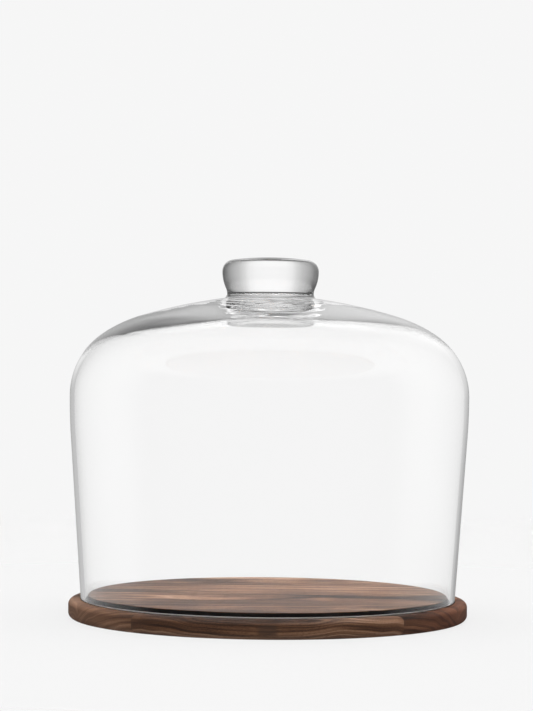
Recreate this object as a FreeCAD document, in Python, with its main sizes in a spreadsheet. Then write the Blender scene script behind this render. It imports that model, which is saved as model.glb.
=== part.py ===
import FreeCAD, Part
import math
import os

import Sketcher

# A bell jar dome for showing and covering things: a blown glass dome with a solid glass knob fused to
# its crown, standing in the rebate of a round walnut board that is glued up from six staves.
# Millimetres, +Z up. The origin is the centre of the board's underside.

# The driving dimensions. Lengths are in millimetres and angles in degrees.
DIMENSIONS = {
    # board
    "board_radius": 160.0,
    "ledge_height": 15.0,  # thickness of the board under the dome's rim
    "platform_rise": 4.0,  # height of the platform above that ledge
    "platform_radius": 144.3,
    "board_round": 4.5,  # rounding of the board's two outer edges
    "platform_chamfer": 0.6,
    "stave_width": 62.0,
    "stave_count": 6.0,
    "stave_shift": 1.5,  # how far the middle seam lies behind the centre
    # dome, from the rim to the crown
    "rim_radius": 150.1,
    "rim_round": 1.2,
    "wall": 3.6,
    "wall_lean": 3.97,  # outward lean of the side, from the vertical
    "wall_height": 130.0,  # height of the straight part of the side
    "belly_radius": 472.0,
    "shoulder_radius": 60.2,
    "shoulder_sweep": 54.9,
    "brow_radius": 108.0,
    "brow_sweep": 18.2,
    "crown_radius": 428.0,
    "opening_radius": 30.0,  # opening in the crown that the collar fills
    # collar, between the crown and the knob
    "neck_height": 245.4,  # from the ledge up to the narrowest point, where the knob starts
    "neck_radius": 34.9,
    "cove_radius": 5.0,
    "cove_sweep": 48.7,
    "button_drop": 15.6,  # how far the collar reaches below the neck, inside the dome
    "button_round": 6.5,
    # knob, upwards from the neck
    "flare_radius": 9.0,
    "flank_radius": 33.0,
    "flare_sweep": 25.0,
    "knob_corner_radius": 9.2,
    "knob_corner_sweep": 82.3,
}

# Heights and radii that follow from the driving dimensions, as expressions of the sheet's cells.
LEDGE = "dims.ledge_height"
PLATFORM = "dims.ledge_height + dims.platform_rise"
NECK = "dims.ledge_height + dims.neck_height"
COLLAR_RADIUS = "dims.neck_radius + dims.cove_radius * (1 - cos(dims.cove_sweep * 1 deg))"

PARTS_FOLDER = "parts"


def make_sheet(doc):
    sheet = doc.addObject("Spreadsheet::Sheet", "dims")
    for row, (alias, value) in enumerate(DIMENSIONS.items(), start=1):
        sheet.set(f"A{row}", str(value))
        sheet.setAlias(f"A{row}", alias)
    doc.recompute()
    return sheet


class Outline:
    """A closed outline to turn about Z, in a body's sketch on its XZ plane: x is the radius, y the height.

    It is drawn stretch by stretch, each from the end of the last. Every length and angle is an
    expression of the sheet's cells, and becomes a named constraint.
    """

    def __init__(self, body, sheet, name, start):
        self.sheet = sheet
        self.sketch = new_sketch(body, name, "XZ_Plane")
        self.here = FreeCAD.Vector(self.value(start[0]), self.value(start[1]), 0)
        self.heading = 0.0
        self.start = start
        self.first = None  # where the outline starts, as the sketch's (geometry, end)
        self.begin = None  # both ends of the last stretch
        self.last = None

    def value(self, expression):
        return float(self.sheet.evalExpression(str(expression)))

    def bind(self, expression, kind, *where):
        """Adds a constraint of that kind whose size is the expression."""
        size = self.value(expression)
        unit = "1 mm"
        if kind == "Angle":
            size = math.radians(size)
            unit = "1 deg"
        index = self.sketch.addConstraint(Sketcher.Constraint(kind, *where, size))
        name = f"{kind.lower()}_{index}"
        self.sketch.renameConstraint(index, name)
        self.sketch.setExpression(f"Constraints.{name}", f"({expression}) * {unit}")

    def pin(self, geometry, end, x, y):
        """Puts one end of a stretch at (x, y), and leaves free what is None."""
        if x == 0:
            self.sketch.addConstraint(Sketcher.Constraint("PointOnObject", geometry, end, -2))
        elif x is not None:
            self.bind(x, "DistanceX", -1, 1, geometry, end)
        if y == 0:
            self.sketch.addConstraint(Sketcher.Constraint("PointOnObject", geometry, end, -1))
        elif y is not None:
            self.bind(y, "DistanceY", -1, 1, geometry, end)

    def attach(self, geometry, end, smooth):
        """Starts a stretch where the last one ended, in the same direction if it is smooth."""
        if self.last is None:
            self.first = (geometry, end)
            self.pin(geometry, end, *self.start)
            return
        kind = "Tangent" if smooth else "Coincident"
        self.sketch.addConstraint(Sketcher.Constraint(kind, *self.last, geometry, end))

    def line(self, x, y, smooth=False):
        """A straight line to the point (x, y)."""
        target = FreeCAD.Vector(self.value(x), self.value(y), 0)
        geometry = self.sketch.addGeometry(Part.LineSegment(self.here, target), False)
        self.attach(geometry, 1, smooth)
        self.pin(geometry, 2, None if smooth else x, y)
        self.heading = math.atan2(target.y - self.here.y, target.x - self.here.x)
        self.here = target
        self.last = (geometry, 2)

    def lean(self, angle, y):
        """A straight line up to the height y, at that angle outward from the vertical."""
        rise = self.value(y) - self.here.y
        run = rise * math.tan(math.radians(self.value(angle)))
        target = self.here + FreeCAD.Vector(run, rise, 0)
        geometry = self.sketch.addGeometry(Part.LineSegment(self.here, target), False)
        self.attach(geometry, 1, False)
        self.bind(y, "DistanceY", -1, 1, geometry, 2)
        self.bind(f"90 - {angle}", "Angle", geometry)
        self.heading = math.atan2(rise, run)
        self.here = target
        self.last = (geometry, 2)

    def arc(self, radius, sweep, turn="left"):
        """An arc that carries on smoothly from the last stretch and turns through the sweep."""
        self.draw_arc(radius, turn, math.radians(self.value(sweep)))
        self.bind(sweep, "Angle", self.last[0])

    def arc_from_upright(self, radius, sweep, turn):
        """An arc that sets off straight up from a corner, and turns through the sweep."""
        self.heading = math.pi / 2
        self.draw_arc(radius, turn, math.radians(self.value(sweep)), smooth=False)
        self.bind(sweep, "Angle", self.last[0])
        self.level_with_centre(self.begin)

    def arc_to_upright(self, radius, sweep, turn):
        """An arc that sets off from a corner, turns through the sweep and ends going straight up."""
        angle = math.radians(self.value(sweep))
        self.heading = math.pi / 2 + (angle if turn == "right" else -angle)
        self.draw_arc(radius, turn, angle, smooth=False)
        self.bind(sweep, "Angle", self.last[0])
        self.level_with_centre(self.last)

    def arc_to_axis(self, radius):
        """An arc that carries on smoothly from the last stretch, turning left until it meets the axis."""
        size = self.value(radius)
        centre_x = self.here.x - size * math.sin(self.heading)
        sweep = math.acos(-centre_x / size) - (self.heading - math.pi / 2)
        self.draw_arc(radius, "left", sweep)
        self.pin(*self.last, 0, None)

    def draw_arc(self, radius, turn, sweep, smooth=True):
        side = 1 if turn == "left" else -1
        size = self.value(radius)
        across = FreeCAD.Vector(-math.sin(self.heading), math.cos(self.heading), 0) * side
        centre = self.here + across * size
        first = self.heading - side * math.pi / 2
        last = first + side * sweep
        circle = Part.Circle(centre, FreeCAD.Vector(0, 0, 1), size)
        curve = Part.ArcOfCircle(circle, min(first, last), max(first, last))
        geometry = self.sketch.addGeometry(curve, False)
        begin, end = (1, 2) if side > 0 else (2, 1)
        self.attach(geometry, begin, smooth)
        self.bind(radius, "Radius", geometry)
        self.heading += side * sweep
        self.here = centre + FreeCAD.Vector(math.cos(last), math.sin(last), 0) * size
        self.begin = (geometry, begin)
        self.last = (geometry, end)

    def level_with_centre(self, point):
        """Keeps a point of the last arc level with that arc's centre."""
        geometry, end = point
        self.sketch.addConstraint(Sketcher.Constraint("Horizontal", geometry, end, geometry, 3))

    def close(self):
        """A straight line back to the start."""
        back = FreeCAD.Vector(self.value(self.start[0]), self.value(self.start[1]), 0)
        geometry = self.sketch.addGeometry(Part.LineSegment(self.here, back), False)
        self.attach(geometry, 1, False)
        self.sketch.addConstraint(Sketcher.Constraint("Coincident", geometry, 2, *self.first))
        self.sketch.Document.recompute()
        if not self.sketch.FullyConstrained:
            raise RuntimeError(f"sketch {self.sketch.Name} isn't fully constrained")
        return self.sketch


def new_sketch(body, name, plane):
    """An empty sketch on one of the body's own origin planes."""
    sketch = body.newObject("Sketcher::SketchObject", name)
    support = next(f for f in body.Origin.OriginFeatures if f.Role == plane)
    sketch.AttachmentSupport = [(support, "")]
    sketch.MapMode = "FlatFace"
    return sketch


def turn_about_z(body, kind, name, sketch):
    """A Revolution or a Groove of the sketch, a full turn about its vertical axis."""
    feature = body.newObject(f"PartDesign::{kind}", name)
    feature.Profile = sketch
    feature.ReferenceAxis = (sketch, ["V_Axis"])
    feature.Angle = 360
    sketch.Visibility = False
    body.Document.recompute()
    return feature


def rim_edges(feature, radius, height):
    """The names of the circular edges about Z that have this radius and lie at this height."""
    return [
        f"Edge{number}"
        for number, edge in enumerate(feature.Shape.Edges, start=1)
        if isinstance(edge.Curve, Part.Circle)
        and math.isclose(edge.Curve.Radius, radius, abs_tol=0.01)
        and math.isclose(edge.Curve.Center.z, height, abs_tol=0.01)
    ]


def round_edges(body, name, base, edges, radius):
    fillet = body.newObject("PartDesign::Fillet", name)
    fillet.Base = (base, edges)
    fillet.setExpression("Radius", radius)
    body.Document.recompute()
    return fillet


def chamfer_edges(body, name, base, edges, size):
    chamfer = body.newObject("PartDesign::Chamfer", name)
    chamfer.Base = (base, edges)
    chamfer.setExpression("Size", size)
    body.Document.recompute()
    return chamfer


def check_cut(before, after):
    """A cut that points away from the solid removes nothing and shows no error."""
    if not after.Shape.Volume < before.Shape.Volume:
        raise RuntimeError(f"{after.Name} cut nothing")


def new_body(doc, name, label):
    body = doc.addObject("PartDesign::Body", name)
    body.Label = label
    return body


def make_board_blank(doc, sheet):
    """The whole board as turned on the lathe: a disc with a platform that the dome's rim goes round."""
    body = new_body(doc, "BoardBlank", "board_blank")
    outline = Outline(body, sheet, "BoardOutline", (0, 0))
    outline.line("dims.board_radius", 0)
    outline.line("dims.board_radius", LEDGE)
    outline.line("dims.platform_radius", LEDGE)
    outline.line("dims.platform_radius", PLATFORM)
    outline.line(0, PLATFORM)
    board = turn_about_z(body, "Revolution", "BoardTurned", outline.close())

    outer = outline.value("dims.board_radius")
    edges = rim_edges(board, outer, 0.0)
    edges += rim_edges(board, outer, outline.value(LEDGE))
    rounded = round_edges(body, "BoardRound", board, edges, "dims.board_round")
    arris = rim_edges(rounded, outline.value("dims.platform_radius"), outline.value(PLATFORM))
    chamfer_edges(body, "PlatformChamfer", rounded, arris, "dims.platform_chamfer")
    return body


def make_staves(doc, sheet, blank):
    """The board's staves: the blank cut along its glue seams, which run along X with the grain."""
    staves = []
    for number in range(1, int(sheet.stave_count) + 1):
        slab = doc.addObject("Part::Box", f"StaveSlab{number}")
        seams_before = f"({number} - 1 - dims.stave_count / 2) * dims.stave_width"
        slab.setExpression("Length", "2 * dims.board_radius * 1 mm")
        slab.setExpression("Width", "dims.stave_width * 1 mm")
        slab.setExpression("Height", f"({PLATFORM}) * 1 mm")
        slab.setExpression("Placement.Base.x", "-dims.board_radius * 1 mm")
        slab.setExpression("Placement.Base.y", f"({seams_before} + dims.stave_shift) * 1 mm")
        stave = doc.addObject("Part::Common", f"Stave{number}")
        stave.Base = blank
        stave.Tool = slab
        stave.Label = f"walnut_stave_{number}"
        staves.append(stave)
    doc.recompute()
    return staves


def trace_bell(outline, rim, wall):
    """Draws the bell from its open foot to its axis, at the depth wall inside its outer face."""
    top = f"{LEDGE} + dims.wall_height + {wall} * sin(dims.wall_lean * 1 deg)"
    outline.line(rim, LEDGE)
    outline.lean("dims.wall_lean", top)
    outline.arc(f"dims.belly_radius - {wall}", "dims.wall_lean")
    outline.arc(f"dims.shoulder_radius - {wall}", "dims.shoulder_sweep")
    outline.arc(f"dims.brow_radius - {wall}", "dims.brow_sweep")
    outline.arc_to_axis(f"dims.crown_radius - {wall}")
    return outline.close()


def make_shell(doc, sheet):
    """The blown glass bell, open at the foot and at the crown, where the collar goes through."""
    body = new_body(doc, "Shell", "glass_dome_shell")
    outer = Outline(body, sheet, "OuterFace", (0, LEDGE))
    outer_sketch = trace_bell(outer, "dims.rim_radius", "0")
    bell = turn_about_z(body, "Revolution", "Bell", outer_sketch)
    inner = Outline(body, sheet, "InnerFace", (0, LEDGE))
    inner_rim = "dims.rim_radius - dims.wall / cos(dims.wall_lean * 1 deg)"
    inner_sketch = trace_bell(inner, inner_rim, "dims.wall")
    hollow = turn_about_z(body, "Groove", "Hollow", inner_sketch)
    check_cut(bell, hollow)

    opening = new_sketch(body, "OpeningCircle", "XY_Plane")
    circle = Part.Circle(FreeCAD.Vector(0, 0, 0), FreeCAD.Vector(0, 0, 1), sheet.opening_radius)
    opening.addGeometry(circle, False)
    opening.addConstraint(Sketcher.Constraint("Coincident", 0, 3, -1, 1))
    opening.addConstraint(Sketcher.Constraint("Radius", 0, sheet.opening_radius))
    opening.renameConstraint(1, "opening")
    opening.setExpression("Constraints.opening", "dims.opening_radius * 1 mm")
    pocket = body.newObject("PartDesign::Pocket", "Opening")
    pocket.Profile = opening
    pocket.Type = "ThroughAll"
    pocket.Reversed = True
    doc.recompute()
    check_cut(hollow, pocket)

    seat = outer.value(LEDGE)
    edges = rim_edges(pocket, outer.value("dims.rim_radius"), seat)
    edges += rim_edges(pocket, inner.value(inner_rim), seat)
    round_edges(body, "RimRound", pocket, edges, "dims.rim_round")
    return body


def make_collar(doc, sheet, shell):
    """The glass between crown and knob: it fills the crown's opening and bulges into the dome below it."""
    body = new_body(doc, "CollarBlank", "collar_blank")
    bottom = f"{NECK} - dims.button_drop"
    outline = Outline(body, sheet, "CollarOutline", (0, bottom))
    outline.line(f"{COLLAR_RADIUS} - dims.button_round", bottom)
    outline.arc("dims.button_round", "90")
    outline.line(COLLAR_RADIUS, f"{NECK} - dims.cove_radius * sin(dims.cove_sweep * 1 deg)", smooth=True)
    outline.arc_to_upright("dims.cove_radius", "dims.cove_sweep", "right")
    outline.line(0, NECK)
    turn_about_z(body, "Revolution", "CollarTurned", outline.close())

    collar = doc.addObject("Part::Cut", "Collar")
    collar.Base = body
    collar.Tool = shell
    collar.Label = "glass_collar"
    doc.recompute()
    return collar


def make_knob(doc, sheet):
    """The solid glass knob: it flares from the neck to its widest, then rounds over to a domed top."""
    body = new_body(doc, "Knob", "glass_knob")
    outline = Outline(body, sheet, "KnobOutline", (0, NECK))
    outline.line("dims.neck_radius", NECK)
    outline.arc_from_upright("dims.flare_radius", "dims.flare_sweep", "right")
    outline.arc("dims.flank_radius", "dims.flare_sweep")
    outline.arc("dims.knob_corner_radius", "dims.knob_corner_sweep")
    # The top is part of a sphere centred on the axis, so its radius follows from the corner's end.
    flare = "(dims.flare_radius + dims.flank_radius) * (1 - cos(dims.flare_sweep * 1 deg))"
    corner = "dims.knob_corner_radius * (1 - cos(dims.knob_corner_sweep * 1 deg))"
    outline.arc_to_axis(f"(dims.neck_radius + {flare} - {corner}) / cos(dims.knob_corner_sweep * 1 deg)")
    turn_about_z(body, "Revolution", "KnobTurned", outline.close())
    return body


def check_document(doc):
    """doc.recompute() can leave an object failed without raising."""
    for thing in doc.Objects:
        if "Invalid" in thing.State or "Error" in thing.State:
            raise RuntimeError(f"{thing.Name} failed: {thing.State}")


def export(pieces):
    os.makedirs(PARTS_FOLDER, exist_ok=True)
    for piece in pieces:
        shape = piece.Shape
        if shape.isNull() or not shape.isValid() or not shape.Solids:
            raise RuntimeError(f"{piece.Label} has no valid solid")
        shape.exportStep(os.path.join(PARTS_FOLDER, f"{piece.Label}.step"))
        box = shape.optimalBoundingBox()
        print(
            f"{piece.Label}: {shape.Volume / 1000:.1f} cm3, x {box.XMin:.1f} to {box.XMax:.1f}, "
            f"y {box.YMin:.1f} to {box.YMax:.1f}, z {box.ZMin:.2f} to {box.ZMax:.2f}"
        )


def main():
    doc = FreeCAD.newDocument("bell_jar_dome")
    sheet = make_sheet(doc)
    blank = make_board_blank(doc, sheet)
    pieces = make_staves(doc, sheet, blank)
    shell = make_shell(doc, sheet)
    pieces.append(shell)
    pieces.append(make_collar(doc, sheet, shell))
    pieces.append(make_knob(doc, sheet))
    doc.recompute()
    check_document(doc)
    export(pieces)


main()
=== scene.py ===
import math
from collections import namedtuple

import bmesh
import bpy
from mathutils import Euler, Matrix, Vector, noise


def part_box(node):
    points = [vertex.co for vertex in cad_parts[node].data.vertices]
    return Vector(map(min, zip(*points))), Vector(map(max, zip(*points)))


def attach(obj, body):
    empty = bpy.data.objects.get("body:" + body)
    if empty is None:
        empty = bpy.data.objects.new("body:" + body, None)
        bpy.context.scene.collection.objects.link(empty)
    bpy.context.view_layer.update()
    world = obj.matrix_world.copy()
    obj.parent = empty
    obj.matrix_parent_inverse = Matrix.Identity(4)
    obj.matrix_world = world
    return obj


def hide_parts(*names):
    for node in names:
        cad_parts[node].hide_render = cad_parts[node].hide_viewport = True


# A blown glass dome on a round walnut board, dressed for a bright studio table.
# Metres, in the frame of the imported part: +Z up, +X along the grain of the board, -Y towards the camera.

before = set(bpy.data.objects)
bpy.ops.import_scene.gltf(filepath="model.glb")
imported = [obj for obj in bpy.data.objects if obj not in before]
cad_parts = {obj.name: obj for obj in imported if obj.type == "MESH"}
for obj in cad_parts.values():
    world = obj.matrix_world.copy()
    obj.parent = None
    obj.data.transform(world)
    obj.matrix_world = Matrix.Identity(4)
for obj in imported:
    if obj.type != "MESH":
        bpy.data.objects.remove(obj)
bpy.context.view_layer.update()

MM = 0.001
TOUCHING = 1e-7  # places closer than this are one place

# Board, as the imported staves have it.
BOARD_RADIUS = 160.0 * MM
PLATFORM_RADIUS = 144.3 * MM
BOARD_ROUND = 4.5 * MM
PLATFORM_ROUND = 0.7 * MM
FOOT_ROUND = 0.4 * MM  # where the platform's side meets the ledge
BOARD_SEGMENTS = 512
SHARP_ANGLE = math.radians(35)  # an edge that turns by more than this stays sharp
STAVE_NODES = [f"walnut_stave_{number}" for number in range(1, 7)]

# Dome, from the rim to the crown. The inner face has the same arcs, less the wall.
RIM_RADIUS = 150.1 * MM
RIM_ROUND = 1.2 * MM
WALL = 3.6 * MM
WALL_LEAN = math.radians(3.97)
WALL_HEIGHT = 130.0 * MM
BELLY_RADIUS = 472.0 * MM
SHOULDER_RADIUS = 60.2 * MM
SHOULDER_SWEEP = math.radians(54.9)
BROW_RADIUS = 108.0 * MM
BROW_SWEEP = math.radians(18.2)
CROWN_RADIUS = 428.0 * MM
DOME_SEGMENTS = 384

# Collar and knob.
NECK_RADIUS = 34.9 * MM
COVE_RADIUS = 5.0 * MM
COVE_SWEEP = math.radians(48.7)
BUTTON_ROUND = 6.5 * MM
FLARE_RADIUS = 9.0 * MM
FLANK_RADIUS = 33.0 * MM
FLARE_SWEEP = math.radians(25.0)
KNOB_CORNER_RADIUS = 9.2 * MM
KNOB_CORNER_SWEEP = math.radians(82.3)
WELD = 0.3 * MM  # the gap in the outline that one face closes, between the bell and the collar

# What hand blowing left. Ripples in the crown, over a slow swell:
RIPPLES_START = 37.0 * MM
RIPPLES_FULL = 42.0 * MM
RIPPLES_END = 110.0 * MM
RIPPLE_LENGTH = 9.0 * MM
RIPPLE_HEIGHT = 0.18 * MM
RIPPLE_TURN = 2.0  # how much the ripples differ round the dome
SWELL_HEIGHT = 0.08 * MM
SWELL_PACE = 0.35  # swells to each ripple
SWELL_TURN = 0.5  # how much the swell differs round the dome, against the ripples
# Dimples round the button's side:
DIMPLE_DEPTH = 1.2 * MM
DIMPLE_HEIGHT = 5.0 * MM
DIMPLE_BIAS = 0.5  # the more of it, the more of the side is dented
DIMPLES_START = 0.7 * NECK_RADIUS
DIMPLES_FADE = 2.0 * MM  # below the button's top
# A wall that thickens towards the collar:
THICKENING = 3.2 * MM
THICKENING_START = 25.0 * MM
THICKENING_END = 150.0 * MM
# More of that on the -X side than elsewhere:
SWELLING = 1.1 * MM
SWELLING_START = 45.0 * MM
SWELLING_PEAK = 105.0 * MM
SWELLING_END = 160.0 * MM
SWELLING_TURN = (0.1, 1.0)  # how far a direction points to -X where it starts, and where it is full

# Places in the noise that sets the waves: the inner face has its own, and so has the slow swell.
INNER_FACE_PLACE = 50.0
SWELL_PLACE = 20.0

# Where each kind of glass ends.
KNOB_GLASS_DROP = 3.0 * MM  # the knob's reaches this far below the neck
BUTTON_GLASS_MARGIN = 2.0 * MM  # the button's reaches this far beyond the neck's radius
GROUND_SHARE = 0.75  # of the rim's rounding
CLEAR_WALL, SOLID_KNOB, GROUND_FOOT, SOLID_BUTTON = range(4)

# Heights, from the frame.
LEDGE_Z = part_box("glass_dome_shell")[0].z
PLATFORM_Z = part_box("walnut_stave_3")[1].z
NECK_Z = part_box("glass_knob")[0].z
BUTTON_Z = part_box("glass_collar")[0].z


class Profile:
    """Half of a turned shape's outline, as (radius, height) points, walked in runs and arcs."""

    def __init__(self, radius, height, heading):
        self.points = [(radius, height)]
        self.heading = heading

    def run(self, length, steps):
        radius, height = self.points[-1]
        for step in range(1, steps + 1):
            along = length * step / steps
            across = along * math.cos(self.heading)
            self.points.append((radius + across, height + along * math.sin(self.heading)))

    def arc(self, radius, sweep, steps):
        """Turns through the sweep: to the left if it is positive."""
        start_radius, start_height = self.points[-1]
        side = math.copysign(1.0, sweep)
        centre_radius = start_radius - side * radius * math.sin(self.heading)
        centre_height = start_height + side * radius * math.cos(self.heading)
        for step in range(1, steps + 1):
            angle = self.heading + sweep * step / steps
            self.points.append(
                (
                    centre_radius + side * radius * math.sin(angle),
                    centre_height - side * radius * math.cos(angle),
                )
            )
        self.heading += sweep


def lathe(points, segments, shift=None):
    """A smooth mesh turned about Z from profile points that run from the axis to the axis.

    shift gives, for an outline point's index and an angle, how far the surface moves out and up there.
    """
    mesh = bmesh.new()
    rings = []
    for index, (radius, height) in enumerate(points):
        if radius < TOUCHING:
            rings.append([mesh.verts.new((0.0, 0.0, height))])
            continue
        ring = []
        for segment in range(segments):
            angle = 2 * math.pi * segment / segments
            out, up = shift(index, angle) if shift else (0.0, 0.0)
            across = radius + out
            ring.append(mesh.verts.new((across * math.cos(angle), across * math.sin(angle), height + up)))
        rings.append(ring)
    for lower, upper in zip(rings, rings[1:]):
        for segment in range(segments):
            after = (segment + 1) % segments
            corners = [
                lower[segment % len(lower)],
                lower[after % len(lower)],
                upper[after % len(upper)],
                upper[segment % len(upper)],
            ]
            mesh.faces.new(dict.fromkeys(corners))
    bmesh.ops.recalc_face_normals(mesh, faces=mesh.faces)
    return mesh


def add_object(name, mesh):
    data = bpy.data.meshes.new(name)
    mesh.to_mesh(data)
    mesh.free()
    piece = bpy.data.objects.new(name, data)
    bpy.context.scene.collection.objects.link(piece)
    return piece


# ---------------------------------------------------------------- glass


def bell_profile(rim_radius, depth, heading):
    """The bell from the flat of its foot up to the crown, at that depth inside its outer face.

    heading is the way that it leaves the flat: outward on the outer face, inward on the inner one.
    """
    sweep = math.pi / 2 - WALL_LEAN - heading
    tangent = RIM_ROUND * math.tan(abs(sweep) / 2)
    profile = Profile(rim_radius - tangent * math.cos(heading), LEDGE_Z, heading)
    profile.arc(RIM_ROUND, sweep, 10)
    wall_length = (WALL_HEIGHT + depth * math.sin(WALL_LEAN)) / math.cos(WALL_LEAN)
    profile.run(wall_length - tangent, 60)
    profile.arc(BELLY_RADIUS - depth, WALL_LEAN, 16)
    profile.arc(SHOULDER_RADIUS - depth, SHOULDER_SWEEP, 44)
    profile.arc(BROW_RADIUS - depth, BROW_SWEEP, 22)
    arc_radius = CROWN_RADIUS - depth
    centre = profile.points[-1][0] - arc_radius * math.sin(profile.heading)
    sweep = math.acos(-centre / arc_radius) - (profile.heading - math.pi / 2)
    profile.arc(arc_radius, sweep, 90)
    return profile.points


def glass_profile():
    """The fused glass as one outline: down the outside from the knob's top, round the rim, up the inside."""
    outer = bell_profile(RIM_RADIUS, 0.0, 0.0)
    inner = bell_profile(RIM_RADIUS - WALL / math.cos(WALL_LEAN), WALL, math.pi)

    collar_radius = NECK_RADIUS + COVE_RADIUS * (1 - math.cos(COVE_SWEEP))
    cove_foot = NECK_Z - COVE_RADIUS * math.sin(COVE_SWEEP)
    knob = Profile(collar_radius, cove_foot, math.pi / 2 + COVE_SWEEP)
    knob.arc(COVE_RADIUS, -COVE_SWEEP, 14)
    knob.arc(FLARE_RADIUS, -FLARE_SWEEP, 12)
    knob.arc(FLANK_RADIUS, FLARE_SWEEP, 24)
    knob.arc(KNOB_CORNER_RADIUS, KNOB_CORNER_SWEEP, 30)
    rest = math.pi - knob.heading
    knob.arc(knob.points[-1][0] / math.sin(rest), rest, 24)

    button = Profile(0.0, BUTTON_Z, 0.0)
    button.run(collar_radius - BUTTON_ROUND, 16)
    button.arc(BUTTON_ROUND, math.pi / 2, 16)

    outer = [p for p in outer if p[0] > collar_radius + WELD]
    inner = [p for p in inner if p[0] > collar_radius + WELD]
    return knob.points[::-1] + outer[::-1] + inner + button.points[::-1]


def blown_shape(points):
    """What hand blowing does to the crown and the button, as a lathe shift.

    The points past the lowest one are the inner face's.
    """
    lowest = min(range(len(points)), key=lambda index: points[index][1])
    button_top = NECK_Z - COVE_RADIUS

    def shift(index, angle):
        radius, height = points[index]
        if height < LEDGE_Z + WALL_HEIGHT or height > button_top:
            return 0.0, 0.0
        inner = index > lowest
        turn = Vector((RIPPLE_TURN * math.cos(angle), RIPPLE_TURN * math.sin(angle), 0.0))
        if inner and radius < RIPPLES_START:
            dent = DIMPLE_BIAS + noise.noise(turn + Vector((0.0, 0.0, height / DIMPLE_HEIGHT)))
            outer_share = smooth(radius, DIMPLES_START, NECK_RADIUS)
            edge = outer_share * smooth(button_top - height, 0.0, DIMPLES_FADE)
            return -DIMPLE_DEPTH * edge * max(dent, 0.0), 0.0
        rise = smooth(radius, RIPPLES_START, RIPPLES_FULL)
        fall = 1.0 - smooth(radius, RIPPLES_FULL, RIPPLES_END)
        side = INNER_FACE_PLACE if inner else 0.0
        wave = noise.noise(turn + Vector((0.0, 0.0, radius / RIPPLE_LENGTH + side)))
        drift = SWELL_PACE * radius / RIPPLE_LENGTH
        slow = noise.noise(SWELL_TURN * turn + Vector((0.0, 0.0, drift + side + SWELL_PLACE)))
        up = rise * (RIPPLE_HEIGHT * fall * wave + SWELL_HEIGHT * slow)
        if inner:
            up -= THICKENING * rise * (1.0 - smooth(radius, THICKENING_START, THICKENING_END))
            inward = 1.0 - smooth(radius, SWELLING_PEAK, SWELLING_END)
            outward = smooth(radius, SWELLING_START, SWELLING_PEAK)
            up -= SWELLING * inward * outward * smooth(-math.cos(angle), *SWELLING_TURN)
        return 0.0, up

    return shift


def smooth(value, low, high):
    share = min(max((value - low) / (high - low), 0.0), 1.0)
    return share * share * (3.0 - 2.0 * share)


def make_glass(materials):
    """The shell, collar and knob, which are fused, as one piece. The materials are by kind of glass."""
    points = glass_profile()
    mesh = lathe(points, DOME_SEGMENTS, blown_shape(points))
    for face in mesh.faces:
        face.smooth = True
        middle = face.calc_center_median()
        if middle.z > NECK_Z - KNOB_GLASS_DROP:
            face.material_index = SOLID_KNOB
        elif middle.xy.length < NECK_RADIUS + BUTTON_GLASS_MARGIN:
            face.material_index = SOLID_BUTTON
        elif middle.z < LEDGE_Z + GROUND_SHARE * RIM_ROUND:
            face.material_index = GROUND_FOOT
        else:
            face.material_index = CLEAR_WALL
    piece = add_object("glass_dome", mesh)
    for kind in (CLEAR_WALL, SOLID_KNOB, GROUND_FOOT, SOLID_BUTTON):
        piece.data.materials.append(materials[kind])
    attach(piece, "dome")
    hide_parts("glass_dome_shell", "glass_collar", "glass_knob")


# ---------------------------------------------------------------- node trees


def grey(level):
    return (level, level, level, 1.0)


class Graph:
    """Adds nodes to a tree. An input is a number, a colour, or another node's output."""

    def __init__(self, tree):
        self.tree = tree

    def put(self, kind, inputs, **settings):
        node = self.tree.nodes.new(kind)
        for key, value in settings.items():
            setattr(node, key, value)
        for key, value in inputs.items():
            self.feed(node.inputs[key], value)
        return node

    def feed(self, socket, value):
        if isinstance(value, bpy.types.NodeSocket):
            self.tree.links.new(value, socket)
        else:
            socket.default_value = value

    def math(self, operation, *values, clamp=False):
        inputs = dict(enumerate(values))
        return self.put("ShaderNodeMath", inputs, operation=operation, use_clamp=clamp).outputs[0]

    def steps(self, value, low, high, to_low=0.0, to_high=1.0):
        """A smooth step of value, from to_low at low to to_high at high."""
        inputs = {0: value, 1: low, 2: high, 3: to_low, 4: to_high}
        node = self.put("ShaderNodeMapRange", inputs, interpolation_type="SMOOTHSTEP")
        return node.outputs[0]

    def noise(self, vector, scale, detail=2.0, roughness=0.5):
        inputs = {"Vector": vector, "Scale": scale, "Detail": detail, "Roughness": roughness}
        return self.put("ShaderNodeTexNoise", inputs).outputs["Fac"]

    def stretch(self, vector, factors, offset=(0.0, 0.0, 0.0)):
        inputs = {"Vector": vector, "Scale": factors, "Location": offset}
        return self.put("ShaderNodeMapping", inputs).outputs[0]

    def split(self, vector):
        return self.put("ShaderNodeSeparateXYZ", {0: vector}).outputs

    def join(self, x, y, z):
        return self.put("ShaderNodeCombineXYZ", {0: x, 1: y, 2: z}).outputs[0]

    def mix(self, factor, first, second, blend="MIX"):
        inputs = {"Fac": factor, "Color1": first, "Color2": second}
        return self.put("ShaderNodeMixRGB", inputs, blend_type=blend).outputs[0]

    def tinted(self, colour, tint, where):
        """The colour, multiplied by the tint where the mask is 1."""
        return self.mix(where, colour, self.mix(1.0, colour, tint, "MULTIPLY"))

    def ramp(self, value, stops):
        """A colour ramp through (position, (red, green, blue)) stops."""
        node = self.put("ShaderNodeValToRGB", {"Fac": value})
        elements = node.color_ramp.elements
        while len(elements) < len(stops):
            elements.new(1.0)
        for element, (position, colour) in zip(elements, stops):
            element.position = position
            element.color = (*colour, 1.0)
        return node.outputs["Color"]


# ---------------------------------------------------------------- glass materials


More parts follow.
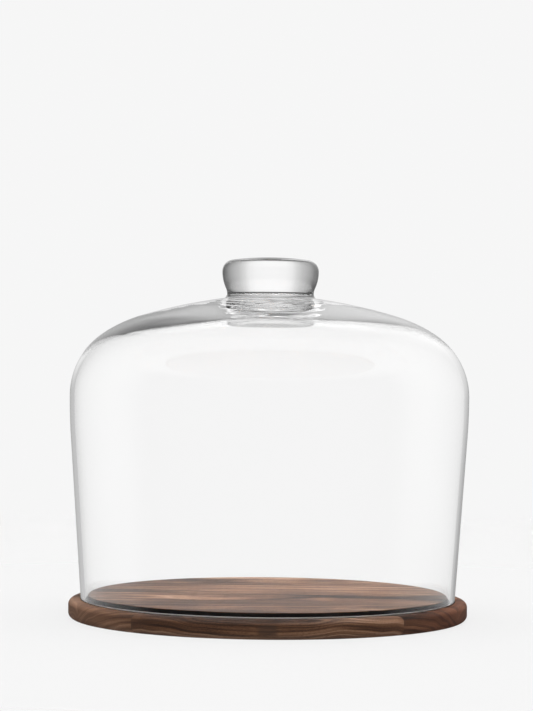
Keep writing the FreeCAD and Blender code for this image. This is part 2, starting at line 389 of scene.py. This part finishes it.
# Painted shade on the solid glass: the share of its colour that is kept, against how far the face turns from
# the ray.
# It stands in for the sides of the thick glass gathering light from the darker parts of the studio.
KNOB_SHADE = [
    (0.00, 1.00),
    (0.05, 0.97),
    (0.10, 0.85),
    (0.16, 0.60),
    (0.25, 0.40),
    (0.43, 0.27),
    (0.58, 0.10),
    (0.75, 0.02),
]
BUTTON_SHADE = [
    (0.00, 1.00),
    (0.20, 0.95),
    (0.40, 0.70),
    (0.58, 0.25),
    (0.75, 0.02),
]

# A painted shade for the crease round the neck: its half width, and how much light its dark line lets
# through.
CREASE = 0.7 * MM
CREASE_SHADE = 0.02

TOP_FLAT = (0.70, 0.95)  # how upright a face's normal is where the flat of the knob's top starts


def glass_material(name, clearness=1.0, roughness=0.0):
    """Glass, clear unless its surface is ground."""
    material = bpy.data.materials.new(name)
    material.use_nodes = True
    shader = material.node_tree.nodes["Principled BSDF"]
    shader.inputs["Base Color"].default_value = (1.0, 1.0, 1.0, 1.0)
    shader.inputs["Roughness"].default_value = roughness
    shader.inputs["IOR"].default_value = 1.5
    shader.inputs["Transmission Weight"].default_value = clearness
    return material


def solid_glass_material(name, edge_shade, crease=False):
    """Solid glass with painted shade, which darkens it as its surface turns away to either side.

    The turn is reckoned in the level, but for the flat of the top. A painted dark line of shade can run
    round the neck's crease.
    """
    material = glass_material(name)
    graph = Graph(material.node_tree)
    normal = graph.put("ShaderNodeNewGeometry", {}).outputs["Normal"]
    across, back, upright = graph.split(normal)
    flat = graph.steps(upright, *TOP_FLAT)
    level = graph.join(across, back, graph.math("MULTIPLY", upright, flat))
    level = graph.put("ShaderNodeVectorMath", {0: level}, operation="NORMALIZE").outputs["Vector"]
    facing = graph.put("ShaderNodeLayerWeight", {"Blend": 0.5, "Normal": level}).outputs["Facing"]
    # Painted shade: the tint darkens the glass as its face turns from the ray.
    tint = graph.ramp(facing, [(place, (share,) * 3) for place, share in edge_shade])
    if crease:
        place = graph.put("ShaderNodeTexCoord", {}).outputs["Object"]
        height = graph.split(place)[2]
        off_neck = graph.math("ABSOLUTE", graph.math("SUBTRACT", height, NECK_Z))
        line = graph.steps(off_neck, 0.5 * CREASE, CREASE, 1.0, 0.0)
        # Painted shade: a dark line round the neck's crease.
        tint = graph.tinted(tint, grey(CREASE_SHADE), line)
    graph.feed(material.node_tree.nodes["Principled BSDF"].inputs["Base Color"], tint)
    return material


# ---------------------------------------------------------------- wood


def board_profile():
    """The board's outline from the middle of its underside to the middle of its platform."""
    profile = Profile(0.0, 0.0, 0.0)
    profile.run(BOARD_RADIUS - BOARD_ROUND, 8)
    profile.arc(BOARD_ROUND, math.pi / 2, 10)
    profile.run(LEDGE_Z - 2 * BOARD_ROUND, 3)
    profile.arc(BOARD_ROUND, math.pi / 2, 10)
    profile.run(BOARD_RADIUS - BOARD_ROUND - PLATFORM_RADIUS - FOOT_ROUND, 4)
    profile.arc(FOOT_ROUND, -math.pi / 2, 4)
    profile.run(PLATFORM_Z - LEDGE_Z - FOOT_ROUND - PLATFORM_ROUND, 3)
    profile.arc(PLATFORM_ROUND, math.pi / 2, 6)
    profile.run(PLATFORM_RADIUS - PLATFORM_ROUND, 8)
    return profile.points


def make_stave(node, points):
    """One stave: the turned board between this stave's two seams."""
    low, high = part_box(node)
    mesh = lathe(points, BOARD_SEGMENTS)
    for place, direction in ((low.y, -1), (high.y, 1)):
        if abs(place) > BOARD_RADIUS - BOARD_ROUND:
            continue
        geometry = mesh.verts[:] + mesh.edges[:] + mesh.faces[:]
        cut = bmesh.ops.bisect_plane(
            mesh,
            geom=geometry,
            plane_co=(0.0, place, 0.0),
            plane_no=(0.0, direction, 0.0),
            clear_outer=True,
            dist=TOUCHING,
        )
        seam = [e for e in cut["geom_cut"] if isinstance(e, bmesh.types.BMEdge)]
        bmesh.ops.holes_fill(mesh, edges=seam)
    piece = add_object(node + "_wood", mesh)
    piece.data.shade_smooth()
    piece.data.set_sharp_from_angle(angle=SHARP_ANGLE)
    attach(piece, "base")
    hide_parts(node)
    piece.visible_glossy = False  # the glass mirrors the studio alone
    return piece


# How each stave was sawn from its log, front to back: where the log's pith runs, in millimetres from
# the stave's middle, how far it drifts sideways and up along the grain, the width of a year's growth,
# the place in the noise that warps it, how pale it is, and how much paler it gets per millimetre of +X.
Sawn = namedtuple("Sawn", "pith drift year place tone paler")
SAWN = [
    Sawn((12.0, -40.0), (0.020, 0.010), 4.2, 3.1, 0.00, 0.0012),
    Sawn((-26.0, -75.0), (0.010, -0.015), 5.0, 11.7, 0.00, 0.0),
    Sawn((12.0, -60.0), (-0.020, 0.012), 5.5, 23.9, 0.01, 0.0006),
    Sawn((-30.0, -45.0), (0.015, 0.015), 4.6, 37.3, 0.03, 0.0012),
    Sawn((25.0, -70.0), (-0.010, -0.020), 5.8, 51.1, 0.19, 0.0004),
    Sawn((-15.0, -50.0), (0.030, 0.010), 4.8, 64.8, 0.28, 0.0),
]

# Noise per millimetre along X, Y and Z: what it draws is long along the grain.
FIBRE_NOISE = (0.05, 2.2, 2.2)
PORE_NOISE = (0.16, 3.1, 3.1)
BEND_Y_NOISE = (0.009, 0.020, 0.020)
BEND_Z_NOISE = (0.008, 0.030, 0.030)
BEND_Z_PLACE = (7.0, 3.0, 5.0)
# How far the rings wander, in millimetres.
BEND_Y = 20.0
BEND_Z = 12.0

# How pale the wood is, from 0 to 1, and how far each layer of the figure moves that.
MIDDLE_TONE = 0.58
BANDS = 1.5
STREAKS = 1.9
FIBRES = 0.45
LATE_WOOD = 0.36
PORES = 0.25
LATE_START, LATE_END = 0.35, 0.93  # as shares of a year's growth

# Walnut, from its darkest streaks to its palest.
WALNUT_TONES = [
    (0.00, (0.020, 0.008, 0.004)),
    (0.30, (0.070, 0.029, 0.012)),
    (0.55, (0.150, 0.068, 0.032)),
    (0.80, (0.255, 0.135, 0.077)),
    (1.00, (0.380, 0.230, 0.152)),
]

# Outside the dome: painted shade darkens the wood there, and its figure is stronger.
SIDE_SHADE = (0.42, 0.40, 0.37, 1.0)
SIDE_FIGURE = 0.15
SIDE_EDGE = 1.0 * MM  # how far the change reaches to either side of the rim's radius

# The ends of the grain, which start and are full where a place is this much of its radius to either side.
ENDS_TURN = (0.50, 0.90)
# Painted light on the ends of the grain: a pale, bluish sheen on the left end, and a redder, dimmer tone on
# the right end.
LEFT_END_SHEEN = (1.55, 1.70, 2.00, 1.0)
RIGHT_END_LIGHT = (1.20, 0.92, 0.84, 1.0)
END_TINTS_MEET = 40.0  # millimetres to either side of the middle, over which one tint gives way
# The figure shows weakly there: the tone is this share of the wood's own, plus a constant.
END_FIGURE = 0.35
END_TONE = 0.36

GLUE = (0.022, 0.013, 0.009, 1.0)
GLUE_LINE = (0.05, 0.25)  # millimetres from the seam where it starts to fade, and where it has gone
GLUE_STRENGTH = 0.55

# Shade in the corner round the platform: how much of the wood's colour is left, and its edge.
GROOVE_SHADE = 0.04
GROOVE_EDGE = (0.2 * MM, 0.9 * MM)


def growth(graph, mm, shifted, sawn):
    """Years of growth: the distance from the pith, with the slow wander that a tree's growth has."""
    x, y, z = graph.split(mm)
    bend_y = graph.noise(graph.stretch(shifted, BEND_Y_NOISE), 1.0)
    bend_z = graph.noise(graph.stretch(shifted, BEND_Z_NOISE, BEND_Z_PLACE), 1.0)
    across = graph.math("MULTIPLY_ADD", x, sawn.drift[0], -sawn.pith[0])
    upward = graph.math("MULTIPLY_ADD", x, sawn.drift[1], -sawn.pith[1])
    across = graph.math("ADD", graph.math("ADD", y, across), graph.math("MULTIPLY", bend_y, BEND_Y))
    upward = graph.math("ADD", graph.math("ADD", z, upward), graph.math("MULTIPLY", bend_z, BEND_Z))
    squares = graph.math("MULTIPLY_ADD", across, across, graph.math("MULTIPLY", upward, upward))
    return graph.math("DIVIDE", graph.math("SQRT", squares), sawn.year)


def wood_tone(graph, x, years, fibres, pores, sawn):
    """How pale the wood is, from 0 to 1, by its rings, streaks, fibres and pores."""

    def layers(along, per_year, detail, roughness, offset):
        """Colour that follows the rings, as a value about zero."""
        spot = graph.join(graph.math("MULTIPLY", x, along), graph.math("MULTIPLY", years, per_year), offset)
        return graph.math("SUBTRACT", graph.noise(spot, 1.0, detail, roughness), 0.5)

    bands = layers(0.004, 0.55, 1.0, 0.5, sawn.place)
    streaks = layers(0.010, 2.3, 4.0, 0.65, sawn.place + 5.0)
    tone = graph.math("MULTIPLY_ADD", x, sawn.paler, MIDDLE_TONE + sawn.tone)
    tone = graph.math("MULTIPLY_ADD", bands, BANDS, tone)
    tone = graph.math("MULTIPLY_ADD", streaks, STREAKS, tone)
    tone = graph.math("MULTIPLY_ADD", graph.math("SUBTRACT", fibres, 0.5), FIBRES, tone)

    # Within a year the wood darkens slowly, then breaks back to pale.
    season = graph.math("FRACT", years)
    darkens = graph.steps(season, LATE_START, LATE_END)
    late = graph.math("MULTIPLY", darkens, graph.steps(season, LATE_END, 1.0, 1.0, 0.0))
    strength = graph.math("MULTIPLY", graph.noise(graph.join(years, sawn.place, 0.0), 0.8, 0.0), LATE_WOOD)
    tone = graph.math("SUBTRACT", tone, graph.math("MULTIPLY", late, strength))
    return graph.math("MULTIPLY_ADD", pores, -PORES, tone)


def walnut_material(node, sawn):
    """Walnut as a solid: growth rings round the log's pith, with fibres and pores along the grain."""
    low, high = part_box(node)
    material = bpy.data.materials.new(node + "_walnut")
    material.use_nodes = True
    graph = Graph(material.node_tree)
    shader = material.node_tree.nodes["Principled BSDF"]

    # Millimetres from the stave's middle, and the same shifted to the stave's own place in the noise.
    place = graph.put("ShaderNodeTexCoord", {}).outputs["Object"]
    mm = graph.stretch(place, (1000.0, 1000.0, 1000.0), (0.0, -500.0 * (low.y + high.y), 0.0))
    shifted = graph.stretch(mm, (1.0, 1.0, 1.0), (100.0 * sawn.place, 0.0, 40.0 * sawn.place))
    x, y, z = graph.split(mm)

    # Fine fibres, and pores: short dark dashes along the grain, dots where it is cut across.
    fibres = graph.noise(graph.stretch(shifted, FIBRE_NOISE), 1.0, 3.0, 0.65)
    dashes = graph.noise(graph.stretch(shifted, PORE_NOISE), 1.0, 1.0, 0.4)
    pores = graph.steps(dashes, 0.62, 0.70)
    tone = wood_tone(graph, x, growth(graph, mm, shifted, sawn), fibres, pores, sawn)

    # Outside the dome the figure is stronger, but the ends of the grain show it weakly.
    level = graph.stretch(place, (1.0, 1.0, 0.0))
    radius = graph.put("ShaderNodeVectorMath", {0: level}, operation="LENGTH").outputs["Value"]
    outside = graph.steps(radius, RIM_RADIUS - SIDE_EDGE, RIM_RADIUS + SIDE_EDGE)
    endwise = graph.math("DIVIDE", graph.math("ABSOLUTE", graph.split(place)[0]), radius)
    end = graph.math("MULTIPLY", graph.steps(endwise, *ENDS_TURN), outside)
    figure = graph.math("MULTIPLY", graph.math("SUBTRACT", tone, 0.5), outside)
    tone = graph.math("MULTIPLY_ADD", figure, SIDE_FIGURE, tone)
    faint = graph.math("MULTIPLY_ADD", tone, END_FIGURE, END_TONE)
    tone = graph.put("ShaderNodeMix", {"Factor": end, 2: tone, 3: faint}, data_type="FLOAT").outputs[0]

    colour = graph.ramp(tone, WALNUT_TONES)
    # Painted shade: the wood outside the dome is darker.
    colour = graph.tinted(colour, SIDE_SHADE, outside)
    # Painted sheen on the left end of the grain, and painted light on the right end.
    to_right = graph.steps(x, -END_TINTS_MEET, END_TINTS_MEET)
    end_light = graph.mix(to_right, LEFT_END_SHEEN, RIGHT_END_LIGHT)
    colour = graph.tinted(colour, end_light, end)

    # The glue lines on both sides of the stave.
    off_seam = graph.math("SUBTRACT", 500.0 * (high.y - low.y), graph.math("ABSOLUTE", y))
    glue = graph.steps(off_seam, *GLUE_LINE, GLUE_STRENGTH, 0.0)
    colour = graph.mix(glue, colour, GLUE)

    # Shade in the corner round the platform, where the glass stands.
    off_ring = graph.math("ABSOLUTE", graph.math("SUBTRACT", radius, 0.5 * (PLATFORM_RADIUS + RIM_RADIUS)))
    half_ring = 0.5 * (RIM_RADIUS - PLATFORM_RADIUS)
    near = graph.steps(off_ring, half_ring + GROOVE_EDGE[0], half_ring + GROOVE_EDGE[1], 1.0, 0.0)
    below = graph.steps(z, 1000.0 * (PLATFORM_Z - PLATFORM_ROUND), 1000.0 * PLATFORM_Z, 1.0, 0.0)
    groove = graph.math("MULTIPLY", near, below)
    graph.feed(shader.inputs["Base Color"], graph.tinted(colour, grey(GROOVE_SHADE), groove))
    shader.inputs["Specular IOR Level"].default_value = 0.25

    # The ends of the grain are dull, and the corner is duller still.
    roughness = graph.math("MULTIPLY_ADD", fibres, 0.16, 0.40)
    roughness = graph.math("MULTIPLY_ADD", pores, 0.2, roughness)
    roughness = graph.math("MULTIPLY_ADD", end, 0.3, roughness)
    graph.feed(shader.inputs["Roughness"], graph.math("ADD", roughness, groove, clamp=True))
    relief = graph.math("MULTIPLY_ADD", pores, -1.0, graph.math("MULTIPLY", fibres, 0.45))
    bump = graph.put("ShaderNodeBump", {"Height": relief, "Strength": 0.35, "Distance": 0.06 * MM})
    graph.feed(shader.inputs["Normal"], bump.outputs["Normal"])
    return material


# ---------------------------------------------------------------- studio


CAMERA_PLACE = (-2.7 * MM, -1.935, 210.5 * MM)
CAMERA_ROLL = math.radians(0.52)
LENS_LENGTH = 121.7  # millimetres, for a sensor 36 mm wide


def make_camera():
    data = bpy.data.cameras.new("camera")
    data.lens = LENS_LENGTH
    data.sensor_width = 36.0
    camera = bpy.data.objects.new("camera", data)
    camera.location = CAMERA_PLACE
    level = Euler((math.pi / 2, 0.0, 0.0)).to_matrix()
    roll = Euler((0.0, 0.0, CAMERA_ROLL)).to_matrix()
    camera.rotation_euler = (level @ roll).to_euler()
    bpy.context.scene.collection.objects.link(camera)
    bpy.context.scene.camera = camera


BACKDROP = 0.923  # what the plain backdrop and floor send to the camera

# What the outer face of the glass mirrors: brightness against the sine of the elevation, as a share
# of the backdrop's, from the -X side of the studio round the back to its +X side.
ROOM = [
    (-0.80, [(-0.20, 0.25), (-0.13, 0.52), (0.40, 0.60)]),
    (-0.45, [(0.00, 0.32), (0.30, 0.36), (0.60, 0.50), (0.75, 0.55)]),
    (-0.30, [(0.00, 0.36), (0.10, 0.80), (0.35, 1.10), (0.60, 1.00), (0.70, 0.70), (0.80, 0.50)]),
    (-0.20, [
        (0.00, 0.40), (0.06, 0.85), (0.14, 0.80), (0.35, 1.22),
        (0.50, 1.30), (0.63, 2.00), (0.74, 0.75), (0.82, 0.50),
    ]),
    (-0.10, [
        (0.00, 0.35), (0.07, 0.70), (0.16, 0.65), (0.25, 0.85),
        (0.40, 1.80), (0.66, 2.90), (0.75, 0.70), (0.82, 0.50),
    ]),
    (0.12, [
        (0.00, 0.30), (0.07, 0.80), (0.16, 1.00), (0.25, 1.50),
        (0.40, 2.10), (0.62, 3.00), (0.72, 0.70), (0.82, 0.50),
    ]),
    (0.32, [
        (-0.20, 0.02), (-0.13, 0.12), (0.20, 0.90), (0.35, 1.15),
        (0.50, 1.00), (0.60, 0.80), (0.80, 0.50),
    ]),
    (0.55, [(-0.20, 0.08), (-0.13, 0.52), (0.50, 0.75)]),
]
# The same for the camera's side of the studio, which is unlit between the floor and the ceiling.
NEAR_SIDE = [(-0.50, 1.00), (-0.35, 0.05), (0.42, 0.05), (0.58, 0.60), (0.80, 0.45)]
NEAR_SIDE_EDGE = (-0.35, 0.30)  # how far back a direction points where this side fades out
GAP = 0.6  # the strip between the lights on the two sides
GAP_EDGE = (0.02, 0.08)  # how far to either side a direction points where the gap fades out
# What lights the wood and the floor.
LIGHTING = [(0.00, 0.45), (0.42, 0.45), (0.60, 0.80), (0.74, 4.60), (0.88, 6.00), (0.93, 19.0)]
BRIGHTEST = 20.0  # ramps hold shares of this
THROUGH_GLASS = 1.066  # makes up for what the glass keeps back, so that it looks clear
INNER_FACE = 0.45  # how much of what the inner face of the glass mirrors is the room


def make_world():
    """A plain backdrop for what is seen, directly or through the glass, and a room for what is mirrored.

    The outer face of the glass mirrors the room, and the inner face a mixture of both, so that the edges
    stand out from every side. The wall nearest the eye mirrors the unlit side in full.
    """
    world = bpy.data.worlds.new("studio")
    world.use_nodes = True
    world.cycles.sampling_method = "NONE"
    graph = Graph(world.node_tree)
    background = world.node_tree.nodes["Background"]
    direction = graph.put("ShaderNodeTexCoord", {}).outputs["Generated"]
    sideways, back, height = graph.split(direction)
    share = graph.math("MULTIPLY_ADD", height, 0.5, 0.5)

    def by_height(levels):
        return graph.ramp(share, [(0.5 + 0.5 * sine, (level / BRIGHTEST,) * 3) for sine, level in levels])

    last_place, levels = ROOM[0]
    room = by_height(levels)
    for next_place, levels in ROOM[1:]:
        room = graph.mix(graph.steps(sideways, last_place, next_place), room, by_height(levels))
        last_place = next_place
    gap = graph.steps(graph.math("ABSOLUTE", sideways), *GAP_EDGE, 1.0, 0.0)
    room = graph.mix(gap, room, grey(GAP / BRIGHTEST))
    near_side = graph.steps(back, *NEAR_SIDE_EDGE, 1.0, 0.0)
    room = graph.mix(near_side, room, by_height(NEAR_SIDE))

    # A wall is crossed twice, once at each face. Crossings count the faces that the ray has been through.
    ray = graph.put("ShaderNodeLightPath", {}).outputs
    crossings = ray["Transmission Depth"]
    seen = graph.mix(ray["Is Transmission Ray"], grey(1.0 / BRIGHTEST), grey(THROUGH_GLASS / BRIGHTEST))
    mirrored = graph.math("GREATER_THAN", ray["Glossy Depth"], 0.5)
    room_share = graph.math("ADD", graph.math("MULTIPLY", crossings, 0.5 * (INNER_FACE - 1.0)), 1.0)
    front_wall = graph.math("MULTIPLY", near_side, graph.math("LESS_THAN", crossings, 3.0))
    room_share = graph.math("MAXIMUM", room_share, front_wall)
    colour = graph.mix(graph.math("MULTIPLY", mirrored, room_share), seen, room)
    lights = graph.math("GREATER_THAN", ray["Diffuse Depth"], 0.5)
    graph.feed(background.inputs["Color"], graph.mix(lights, colour, by_height(LIGHTING)))
    background.inputs["Strength"].default_value = BRIGHTEST * BACKDROP
    bpy.context.scene.world = world


FLOOR_RADIUS = 1.4
FLOOR_DROP = 0.02 * MM  # keeps it clear of the board's underside
FLOOR_FADE = 0.35  # radius where the floor starts to give way to the backdrop
FLOOR_GLOW = 0.85  # the floor's own share of its brightness; the rest is lit, and so shadowed
FLOOR_LIT = 0.0275  # albedo that makes up the rest under this lighting


def make_floor():
    """A pale floor that fades into the backdrop away from the board."""
    mesh = bmesh.new()
    bmesh.ops.create_circle(mesh, cap_ends=True, radius=FLOOR_RADIUS, segments=128)
    floor = add_object("floor", mesh)
    floor.location.z = -FLOOR_DROP
    floor.visible_glossy = False  # the glass mirrors the room there,
    floor.visible_transmission = False  # and shows the backdrop behind it
    material = bpy.data.materials.new("floor")
    material.use_nodes = True
    graph = Graph(material.node_tree)
    material.node_tree.nodes.remove(material.node_tree.nodes["Principled BSDF"])
    place = graph.put("ShaderNodeTexCoord", {}).outputs["Object"]
    radius = graph.put("ShaderNodeVectorMath", {0: place}, operation="LENGTH").outputs["Value"]
    fade = graph.steps(radius, FLOOR_FADE, FLOOR_RADIUS)
    lit = graph.put("ShaderNodeBsdfDiffuse", {"Color": grey(FLOOR_LIT)}).outputs[0]
    glow = graph.put("ShaderNodeEmission", {"Strength": BACKDROP * FLOOR_GLOW}).outputs[0]
    surface = graph.put("ShaderNodeAddShader", {0: lit, 1: glow}).outputs[0]
    clear = graph.put("ShaderNodeBsdfTransparent", {}).outputs[0]
    faded = graph.put("ShaderNodeMixShader", {0: fade, 1: surface, 2: clear}).outputs[0]
    output = material.node_tree.nodes["Material Output"]
    graph.feed(output.inputs["Surface"], faded)
    floor.data.materials.append(material)


make_camera()
make_world()
make_floor()
scene = bpy.context.scene
scene.view_settings.view_transform = "Standard"
scene.cycles.max_bounces = 24
scene.cycles.glossy_bounces = 16
scene.cycles.transmission_bounces = 24

make_glass(
    {
        CLEAR_WALL: glass_material("clear_glass"),
        SOLID_KNOB: solid_glass_material("knob_glass", KNOB_SHADE, crease=True),
        GROUND_FOOT: glass_material("ground_glass", clearness=0.1, roughness=0.35),
        SOLID_BUTTON: solid_glass_material("button_glass", BUTTON_SHADE),
    }
)
turned_board = board_profile()
for stave_node, stave_sawn in zip(STAVE_NODES, SAWN):
    stave = make_stave(stave_node, turned_board)
    stave.data.materials.append(walnut_material(stave_node, stave_sawn))
